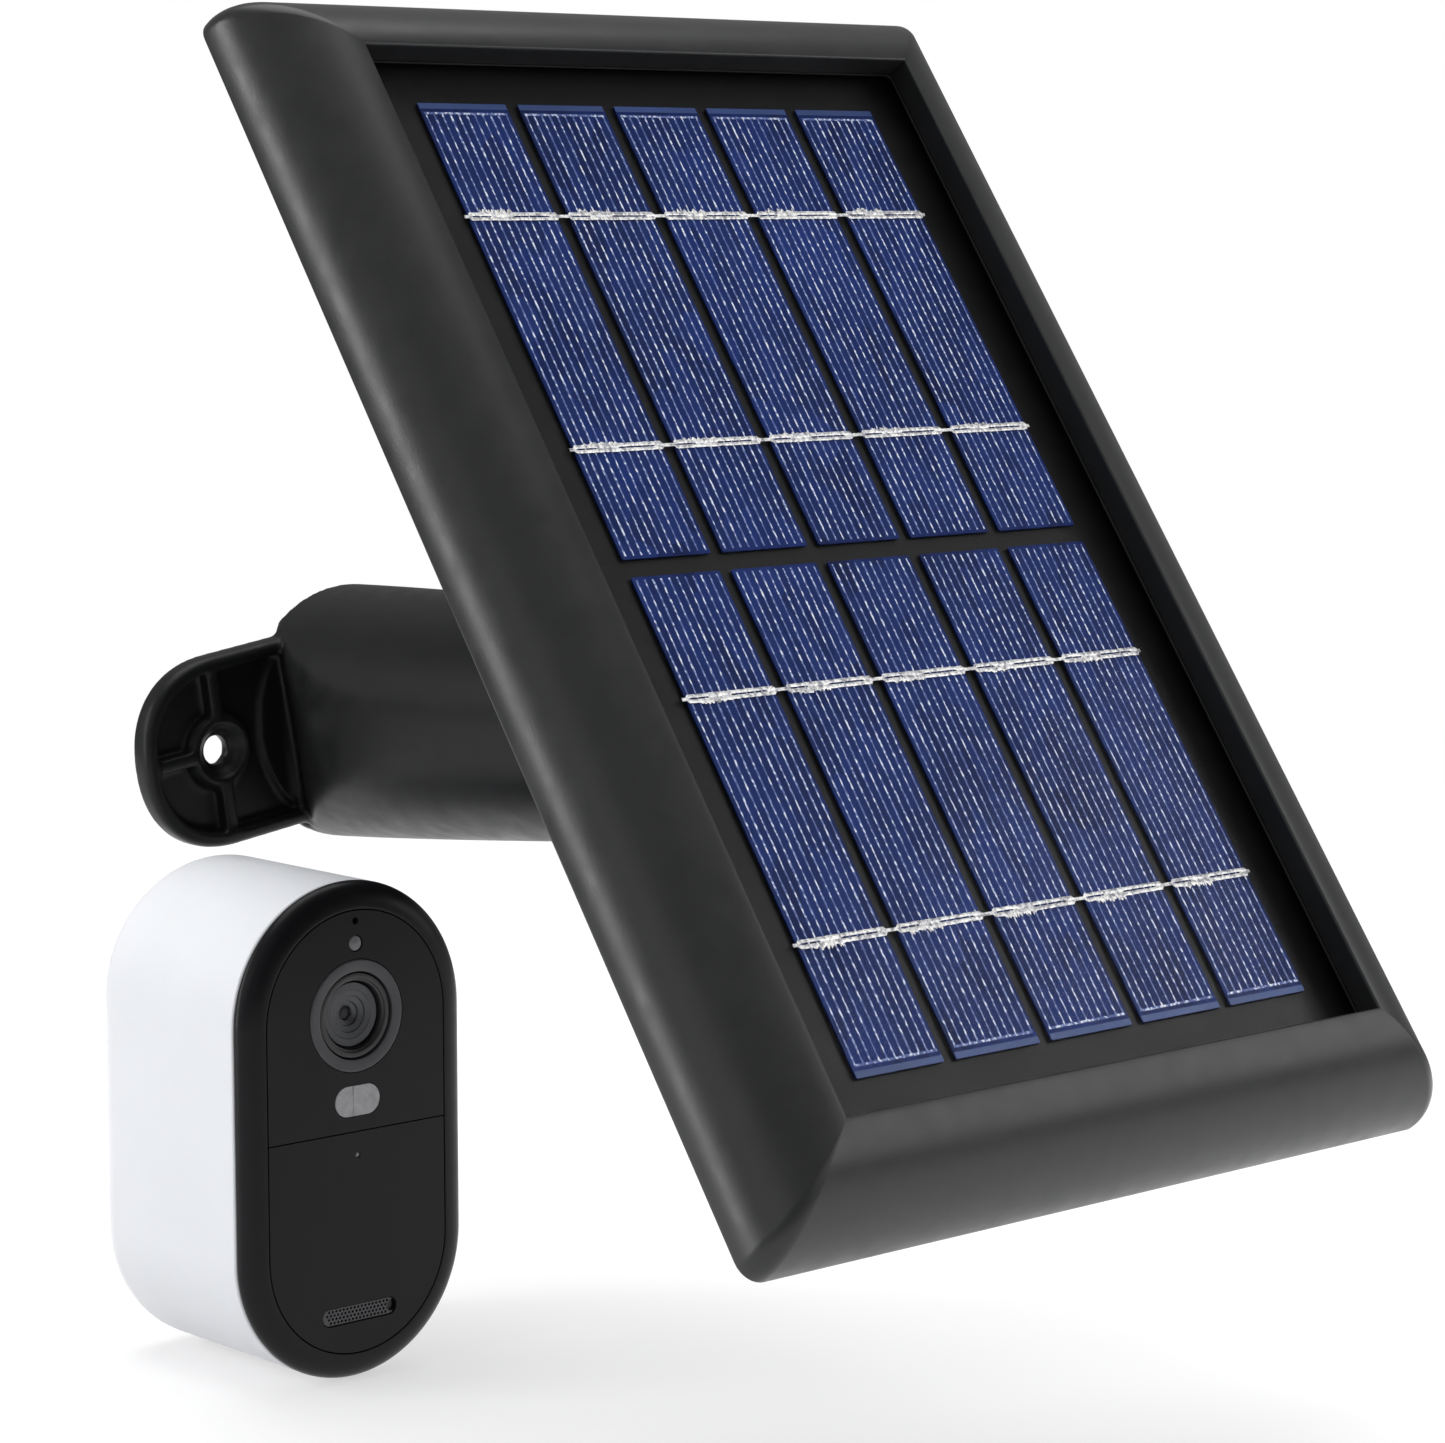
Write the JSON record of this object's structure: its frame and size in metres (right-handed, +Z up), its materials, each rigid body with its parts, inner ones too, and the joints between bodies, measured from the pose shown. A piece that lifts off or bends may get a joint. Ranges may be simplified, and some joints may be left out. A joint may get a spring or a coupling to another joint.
{
  "type": "solar-powered security camera",
  "caption": "Small upright battery camera with a rounded body, beside a framed solar panel that tilts on a round swivelling arm with a two-screw wall plate.",
  "frame": {"origin": "centre of the wall plate's back face, on the arm's axis", "axes": "+Z up, +Y into the wall, so the camera and the panel look towards -Y, and +X is to the right as seen from the front"},
  "size_m": [0.14, 0.1842, 0.2153],
  "materials": {
    "charcoal_plastic": "satin, fine moulded texture",
    "nylon": "plain",
    "screw_steel": "zinc plated",
    "seal_rubber": "matt",
    "clear_sheet": "clear, glossy",
    "solar_cell": "dark blue crystalline, fine pale lines",
    "tabbing_ribbon": "tinned, uneven solder",
    "cell_backing": "black",
    "circuit_board": "green lacquer",
    "white_plastic": "satin white",
    "black_gloss_plastic": "black, semi gloss",
    "grey_plastic": "matt dark grey",
    "lens_black": "black",
    "lens_glass": "coated glass",
    "light_window": "translucent grey",
    "motion_window": "frosted translucent",
    "battery_wrap": "shrink wrap",
    "brass": "turned",
    "control_rubber": "light grey, soft"
  },
  "bodies": {
    "wall_arm": {"wall_base": "charcoal_plastic", "swivel_friction_ring": "nylon", "swivel_set_screw": "screw_steel"},
    "arm_neck": {"swivel_neck": "charcoal_plastic", "tilt_bolt": "screw_steel", "tilt_nut": "screw_steel", "tilt_washer_left": "screw_steel", "tilt_washer_right": "screw_steel"},
    "solar_panel": {"panel_hub": "charcoal_plastic", "hub_screw_1": "screw_steel", "hub_screw_2": "screw_steel", "hub_screw_3": "screw_steel", "hub_screw_4": "screw_steel", "front_frame": "charcoal_plastic", "laminate_seal": "seal_rubber", "cover_sheet": "clear_sheet", "solar_cell_01": "solar_cell", "solar_cell_02": "solar_cell", "solar_cell_03": "solar_cell", "solar_cell_04": "solar_cell", "solar_cell_05": "solar_cell", "solar_cell_06": "solar_cell", "solar_cell_07": "solar_cell", "solar_cell_08": "solar_cell", "solar_cell_09": "solar_cell", "solar_cell_10": "solar_cell", "tabbing_ribbon_1": "tabbing_ribbon", "tabbing_ribbon_2": "tabbing_ribbon", "tabbing_ribbon_3": "tabbing_ribbon", "tabbing_ribbon_4": "tabbing_ribbon", "cell_backing_board": "cell_backing", "back_cover": "charcoal_plastic", "cover_screw_1": "screw_steel", "cover_screw_2": "screw_steel", "cover_screw_3": "screw_steel", "cover_screw_4": "screw_steel", "cable_gland": "seal_rubber", "charge_board": "circuit_board"},
    "camera_unit": {"rear_housing": "white_plastic", "front_bezel": "black_gloss_plastic", "housing_seal": "seal_rubber", "upper_front_window": "black_gloss_plastic", "lower_front_panel": "black_gloss_plastic", "lens_ring": "grey_plastic", "lens_barrel": "lens_black", "lens_glass": "lens_glass", "image_sensor_board": "circuit_board", "light_sensor": "light_window", "motion_sensor_window": "motion_window", "status_light_pipe": "light_window", "microphone": "screw_steel", "speaker_grille": "grey_plastic", "speaker": "grey_plastic", "main_board": "circuit_board", "battery": "battery_wrap", "mounting_socket": "brass", "charging_port": "screw_steel"},
    "sync_button": {"sync_button": "control_rubber"},
    "port_cover": {"port_cover": "control_rubber"}
  },
  "joints": [
    {"name": "swivel", "type": "hinge", "parent": "wall_arm", "child": "arm_neck", "pos_m": [0, -0.06089, 0.00367], "axis": [0, -0.9982, 0.0602], "range_deg": [-60, 60]},
    {"name": "tilt", "type": "hinge", "parent": "arm_neck", "child": "solar_panel", "pos_m": [0, -0.08415, 0.00507], "axis": [1, 0, 0], "range_deg": [-28, 35]},
    {"name": "camera_placement", "type": "slide", "parent": "wall_arm", "child": "camera_unit", "axis": [-1, 0, 0], "range_m": [0, 0.15]},
    {"name": "sync_press", "type": "slide", "parent": "camera_unit", "child": "sync_button", "axis": [0, -1, 0], "range_m": [0, 0.001], "stiffness_N_per_m": 200, "springref_m": -0.002},
    {"name": "port_flap", "type": "hinge", "parent": "camera_unit", "child": "port_cover", "pos_m": [-0.0376, -0.01127, -0.08539], "axis": [-1, 0, 0], "range_deg": [0, 90]}
  ]
}
